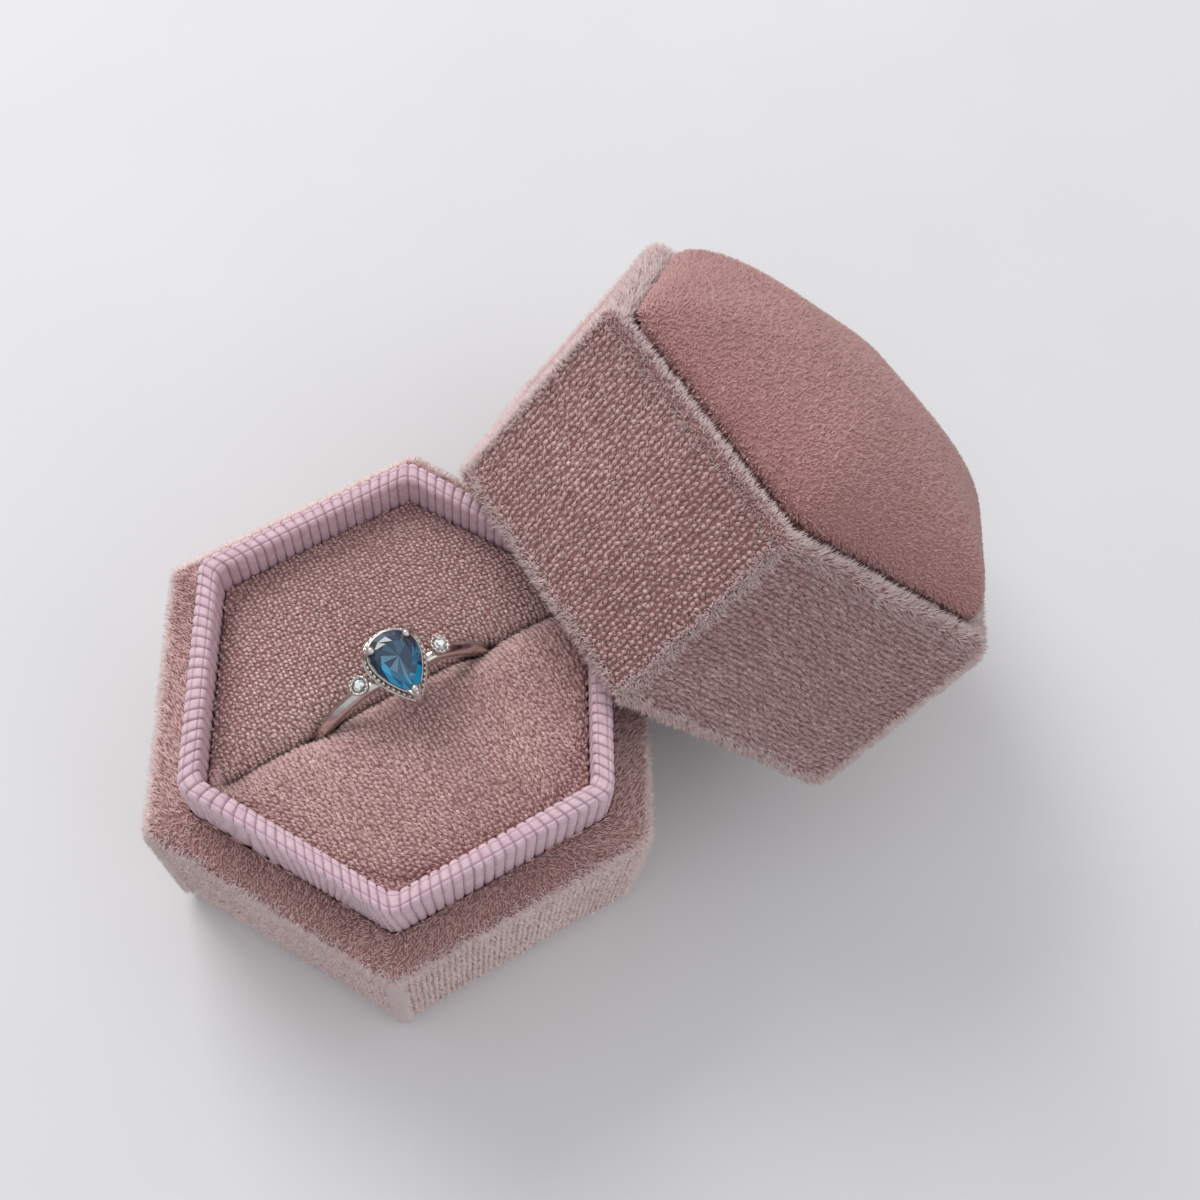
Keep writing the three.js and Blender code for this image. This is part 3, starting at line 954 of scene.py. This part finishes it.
class Dome:
    """The domed cushion on the lid. A spot on it is cloth laid flat, (x, y) from the dome's top."""

    def __init__(self, depth):
        neck = DOME_FLAT - depth
        swell = neck + DOME_OVERHANG
        underside = LID_HEIGHT - 0.2 + depth
        springs = underside + 0.8
        top = DOME_TOP - depth
        angles = np.linspace(0, math.pi / 2, 40)
        over = zip(swell * np.sin(angles), springs + (top - springs) * np.cos(angles) ** 1.25)
        profile = [*over, (swell - 0.2, underside + 0.35), (neck, underside), (neck, DOME_BOTTOM)]
        self.flats, self.levels = np.array(profile).T
        self.reach = reach_of(profile)
        self.shoulder = self.reach[len(angles) - 1]

    def out(self, x, y):
        """How far out a spot lies on the cloth, which is cut six-sided with rounded corners."""
        return six_sided_distance(x, y, 14.0)

    def sharpness(self, out):
        """Nearly round at the top, and as six-sided as the rim at the shoulder."""
        return 4 + 26 * np.clip(out / self.shoulder, 0, 1) ** 1.5

    def at(self, spots):
        x, y = spots[..., 0], spots[..., 1]
        out = self.out(x, y)
        length = np.maximum(np.hypot(x, y), 1e-6)
        x, y = x / length, y / length
        across = six_sided_distance(x, y, self.sharpness(out))
        across = np.maximum(across, 0.5)  # it is 0 at the very middle, and near 1 elsewhere
        far = np.interp(out, self.reach, self.flats) / across
        level = np.interp(out, self.reach, self.levels)
        return moved(np.stack([x * far, y * far, level], -1), LID_PLACE)

    def floor_at(self, share, x, y):
        """A point of its flat underside, towards (x, y)."""
        far = share * self.flats[-1] / six_sided_distance(x, y, self.sharpness(self.shoulder))
        return moved(np.array([x * far, y * far, DOME_BOTTOM]), LID_PLACE)


def dome_form(name, surface, rings, sides, materials):
    def outline(share, angle, top):
        x, y = math.cos(angle), math.sin(angle)
        if not top:
            return surface.floor_at(share, x, y)
        far = share * surface.reach[-1] / surface.out(x, y)
        return surface.at(np.array([x * far, y * far]))

    points, faces = disc(rings, sides, outline)
    return make_piece(name, "lid", points, faces, materials)


def dome():
    surface = Dome(0.25)
    cover = dome_form("dome", surface, 64, 144, [DOME_GROUND])
    limit = surface.shoulder + 0.9
    xs, ys = (np.arange(-limit * 1.1, limit * 1.1, pitch) for pitch in (0.46, 0.56))
    spots = np.stack(np.meshgrid(xs, ys), -1).reshape(-1, 2)
    out = surface.out(*spots.T)
    spots, out = spots[out < limit], out[out < limit]
    towards_edge = np.clip((out / limit - 0.6) / 0.3, 0, 1)
    spots += chance.normal(0, 1, spots.shape) * (0.2 - 0.17 * towards_edge)[:, None]
    glow = 0.48 - 0.08 * towards_edge
    pile("dome_pile", "lid", surface, spots, glow, (0.35, -0.2), BRUSHED, DOME_SHADES)
    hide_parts("dome_velvet")
    filling = dome_form("dome_filling", Dome(1.7), 20, 72, [FOAM])
    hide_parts("dome_foam")


# The ring


def pear(length, width, steps=48):
    """A pear outline with its point towards -Y, centred on its bounding box, starting from the point."""
    angles = full_turn(steps)
    taper = np.sin(angles) * np.sin(angles / 2) ** 0.9
    x = -taper / np.abs(taper).max() * width / 2
    y = -np.cos(angles) * length / 2
    return np.stack([x, y], -1)


def lifted(outline, level):
    return np.column_stack([outline, np.full(len(outline), level)])


def spread(path, pitch):
    """Points at an even pitch round a closed path."""
    closed = np.concatenate([path, path[:1]])
    reach = reach_of(closed)
    count = round(reach[-1] / pitch)
    at = (np.arange(count) + 0.5) * reach[-1] / count
    return np.stack([np.interp(at, reach, closed[:, k]) for k in range(closed.shape[1])], -1)


def ring_shank():
    """A half-round band with a soft ridge along its middle, flattened under the setting."""
    half = SHANK_WIDTH / 2

    def section(angle):
        up = math.cos(angle)  # the first axis is +Z
        outer = RING_OUTER if up < 0.5 else min(RING_OUTER, RING_SEAT / up)
        slim = 1 - 0.28 * near(min(angle, 2 * math.pi - angle), 0, 0.55)
        wide = half * slim
        inner = RING_OUTER - SHANK_THICK
        crown = outer - inner
        out = [(inner, -wide * 0.75), (inner + 0.12, -wide * 0.92)]
        for share in np.linspace(-1, 1, 13):
            ridge = 0.07 * near(share, 0, 0.12)
            rise = crown * (0.45 + 0.47 * math.sqrt(max(0, 1 - share**2)) + ridge)
            out.append((inner + rise, wide * share))
        out += [(inner + 0.12, wide * 0.92), (inner, wide * 0.75)]
        out += [(inner - 0.04, wide * 0.3), (inner - 0.04, -wide * 0.3)]
        return out

    centre = np.array([0, 0, RING_CENTRE])
    points, faces = turned(section, centre, UP, np.array([1.0, 0, 0]), 180)
    band = make_piece("ring_band", "ring", points, faces, [SILVER])
    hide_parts("ring_shank")


def setting_wall(outline_in, outline_out, bottom, top):
    """An upright pear-shaped wall."""
    rings = [
        lifted(outline_in, bottom),
        lifted(outline_out, bottom),
        lifted(outline_out, top - 0.08),
        lifted(outline_out * 0.985, top),
        lifted(outline_in, top),
    ]
    points = np.stack(rings, axis=1)
    faces = grid_faces(len(outline_in), len(rings), closed_rows=True, closed_columns=True)
    return points.reshape(-1, 3), [faces]


def claw(foot, lean_to, top, radius):
    """A round claw that rises from its foot and bends over the stone's edge."""
    foot, lean_to = np.array(foot), np.array(lean_to)
    shares = np.linspace(0, 1, 9)
    bend = np.maximum(0, (shares - 0.55) / 0.45)[:, None] ** 1.6
    level = RING_CENTRE + RING_SEAT + GAP + shares * top
    path = np.column_stack([foot + (lean_to - foot) * bend, level])
    stem = tube(path, radius * np.linspace(1.0, 0.92, len(path)), sides=12)
    return [stem, bead(path[-1], radius * 1.22, (1, 1, 0.9))]


def pear_setting():
    bottom = RING_CENTRE + RING_SEAT + GAP
    wall_top = GIRDLE - 0.75
    sizes = (-0.5, 0.15, 0.4, 0.62, 0.7, 1.0)  # beyond the stone's
    inner, rim, wall, beaded, foot_rail, rail = (pear(STONE_LENGTH + s, STONE_WIDTH + s) for s in sizes)
    parts = [
        setting_wall(inner, rail, wall_top - 0.45, wall_top - 0.1),
        setting_wall(inner, wall, bottom, wall_top - 0.4),
        setting_wall(inner, rim, wall_top - 0.1, GIRDLE - 0.1),
        tube(lifted(rim, GIRDLE - 0.12), 0.1, sides=8, closed=True),
        tube(lifted(rail, wall_top - 0.15), 0.12, sides=8, closed=True),
        tube(lifted(foot_rail, bottom + 0.3), 0.2, closed=True),
    ]
    for spot in spread(lifted(beaded, wall_top + 0.16), 0.54):
        parts.append(bead(spot, 0.19, rings=6, sides=10))
    turn = 0.5
    round_end = STONE_WIDTH / 2
    middle = STONE_LENGTH / 2 - round_end
    for side in (-1, 1):
        way = np.array([side * math.cos(turn), math.sin(turn)])
        foot = np.array([0, middle]) + way * (round_end + 0.42)
        tip = np.array([0, middle]) + way * (round_end - 0.28)
        parts += claw(foot, tip, 2.0, 0.34)
    point = -STONE_LENGTH / 2
    parts += claw([0, point - 0.42], [0, point + 0.3], 1.85, 0.34)
    for side in (-1, 1):  # the V that guards the point
        arm = [[0, -0.3, 0.12], [side * 0.35, 0.2, 0.12], [side * 0.72, 0.85, 0.07]]
        parts.append(tube(arm + np.array([0, point, GIRDLE]), [0.26, 0.22, 0.12], sides=10))
    points, faces = joined(parts)
    setting = make_piece("setting", "ring", points, faces, [SILVER])
    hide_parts("pear_setting")


def stone_layers(outlines, levels, tip):
    """A cut stone's facets between its outlines, down to a point below. The flat top is left open for a
    table.
    """
    count = len(outlines[0])
    points = np.concatenate([lifted(o, z) for o, z in zip(outlines, levels)] + [tip[None]])
    step = np.arange(count)
    beyond = (step + 1) % count
    faces = []
    for k in range(len(outlines) - 1):
        a, b = k * count, (k + 1) * count
        faces += [np.stack([a + step, b + step, a + beyond], 1)]
        faces += [np.stack([a + beyond, b + step, b + beyond], 1)]
    last = (len(outlines) - 1) * count
    faces += [np.stack([last + step, np.full(count, len(points) - 1), last + beyond], 1)]
    return points, faces


def pear_stone():
    count = 16
    half_step = 3

    def level(scale, turn):
        fine = pear(STONE_LENGTH * scale, STONE_WIDTH * scale, count * 6)
        return fine[(turn + np.arange(count) * 6) % (count * 6)]

    girdle = level(1.0, 0)
    outlines = [level(0.58, half_step), level(0.8, 0), girdle, girdle, level(0.55, half_step)]
    levels = [GIRDLE + 0.9, GIRDLE + 0.62, GIRDLE + 0.1, GIRDLE, GIRDLE - 0.6 * PAVILION]
    tip = np.array([0, STONE_WIDTH / 6, GIRDLE - PAVILION])
    points, faces = stone_layers(outlines, levels, tip)
    heart = np.array([[0.15, 0.35, GIRDLE + 0.9]])
    middle = len(points)
    points = np.concatenate([points, heart])
    step = np.arange(count)
    table = np.stack([np.full(count, middle), step, (step + 1) % count], 1)
    faces = faces + [table]
    shades = [blue_of(points[facets].mean(axis=1), on_table=facets is table) for facets in faces]
    shades = np.concatenate(shades)
    stone = make_piece("blue_pear", "ring", points, faces, BLUES, shades, smooth=False)
    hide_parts("pear_stone")


def blue_of(centre, on_table):
    """Which blue a facet is painted: navy as painted shade towards the round end and bright blue as painted
    light towards the point.
    """
    angle = np.arctan2(centre[:, 1], centre[:, 0])
    pick = (np.floor(angle * 5.1) + np.floor(np.hypot(centre[:, 0], centre[:, 1]) * 3)).astype(int)
    if on_table:
        return np.array([3, 2, 1])[pick % 3]
    bright = np.array([5, 4, 1])[pick % 3]
    return np.where(centre[:, 1] < 0.6, bright, pick % 2)


def side_stones():
    """Small round stones in beaded cups on the band's shoulders."""
    for side, word in ((-1, "left"), (1, "right")):
        place = np.array(
            Matrix.Translation((0, 0, RING_CENTRE))
            @ Matrix.Rotation(side * SHOULDER, 4, "Y")
            @ Matrix.Translation((0, 0, RING_OUTER + GAP))
        )
        radius, height = 0.95, 0.95
        profile = [(0.3, -0.25), (0.7, -0.05), (radius - 0.1, 0.35), (radius, height - 0.1)]
        profile += [(radius - 0.08, height), (0.72, height), (0.66, 0.5), (0.3, 0.5)]
        cup = turned(lambda _: profile, np.zeros(3), np.array([1.0, 0, 0]), np.array([0, 1.0, 0]), 40)
        parts = [cup]
        for angle in full_turn(12):
            spot = np.array([0.84 * math.cos(angle), 0.84 * math.sin(angle), height])
            parts.append(bead(spot, 0.17, rings=4, sides=8))
        points, faces = joined(parts)
        beaded = make_piece(f"beaded_cup_{word}", "ring", moved(points, place), faces, [SILVER])
        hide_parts(f"side_cup_{word}")
        small_stone(word, place)


def small_stone(word, place):
    count = 8

    def circle(radius, turn):
        angles = (np.arange(count) + turn) * 2 * math.pi / count
        return np.stack([radius * np.cos(angles), radius * np.sin(angles)], -1)

    outlines = [circle(0.3, 0.5), circle(0.46, 0), circle(0.6, 0.5), circle(0.6, 0.5)]
    points, faces = stone_layers(outlines, [1.12, 1.04, 0.86, 0.8], np.array([0, 0, 0.52]))
    table = np.arange(count)[None, ::-1]
    faces.append(table)
    # Painted reflections: each facet takes one of the greys at random.
    shades = np.concatenate([chance.integers(0, len(CLEARS), len(facets)) for facets in faces])
    points = moved(points, place)
    stone = make_piece(f"clear_round_{word}", "ring", points, faces, CLEARS, shades, smooth=False)
    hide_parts(f"side_stone_{word}")


# CAD nodes that stay, with a finished material


def dress_cad_nodes():
    finishes = {"base_foot_felt": FELT}
    for board in ("base_floor", "base_wall", "collar", "lid_wall", "lid_top"):
        finishes[f"{board}_board"] = BOARD
    for node, finish in finishes.items():
        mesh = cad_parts[node].data
        mesh.materials.clear()
        mesh.materials.append(finish)


# The studio


def studio():
    floor_mesh = bpy.data.meshes.new("studio_floor")
    reach = 2.0
    corners = [(x * reach, y * reach, 0) for x, y in ((-1, -1), (1, -1), (1, 1), (-1, 1))]
    floor_mesh.from_pydata(corners, [], [(0, 1, 2, 3)])
    floor_mesh.materials.append(studio_floor())
    in_scene("studio_floor", floor_mesh)

    world = bpy.data.worlds.new("studio_world")
    world.use_nodes = True
    sky = world.node_tree.nodes["Background"]
    sky.inputs["Strength"].default_value = 0.74
    place = add(world, "ShaderNodeTexCoord")
    parts = add(world, "ShaderNodeSeparateXYZ")
    link(world, place.outputs["Generated"], parts.inputs["Vector"])
    low, high = (0.34, 0.34, 0.35), (0.97, 0.975, 0.99)
    room = ramp_of(world, parts.outputs["Z"], (0.0, low), (0.55, high))
    link(world, room, sky.inputs["Color"])
    bpy.context.scene.world = world

    lamp("window", (-0.02, 0.58, 0.5), 0.4, 3.1, (1.0, 0.985, 0.975))
    lamp("fill", (0.35, -0.5, 0.5), 0.5, 0.5, (1.0, 0.99, 0.98))
    bpy.context.scene.view_settings.view_transform = "Standard"


def lamp(name, place, size, power, colour):
    """A square lamp turned to the middle of the box."""
    light = bpy.data.lights.new(name, "AREA")
    light.size = size
    light.energy = power
    light.color = colour
    holder = in_scene(name, light)
    middle_of_box = Vector((0.01, 0, 0.02))
    heading = middle_of_box - Vector(place)
    holder.location = place
    holder.rotation_euler = heading.to_track_quat("-Z", "Y").to_euler()


def camera():
    """Looking down on the box from in front, the slot running away to the upper right."""
    data = bpy.data.cameras.new("camera")
    data.sensor_width = 36
    data.lens = 43.4
    data.shift_x = 0.071
    data.clip_start = 0.01
    tilt, roll, heading = 24.5, -1.573, -29.871
    holder = in_scene("camera", data)
    holder.location = (-0.01848, -0.04658, 0.15528)
    holder.rotation_euler = (math.radians(tilt), math.radians(roll), math.radians(heading))
    bpy.context.scene.camera = holder


camera()
studio()
dress_cad_nodes()
base_cover()
collar_ribbon()
cushion(1, "back")
cushion(-1, "front")
lid_cover()
lid_lining()
dome()
ring_shank()
pear_setting()
pear_stone()
side_stones()
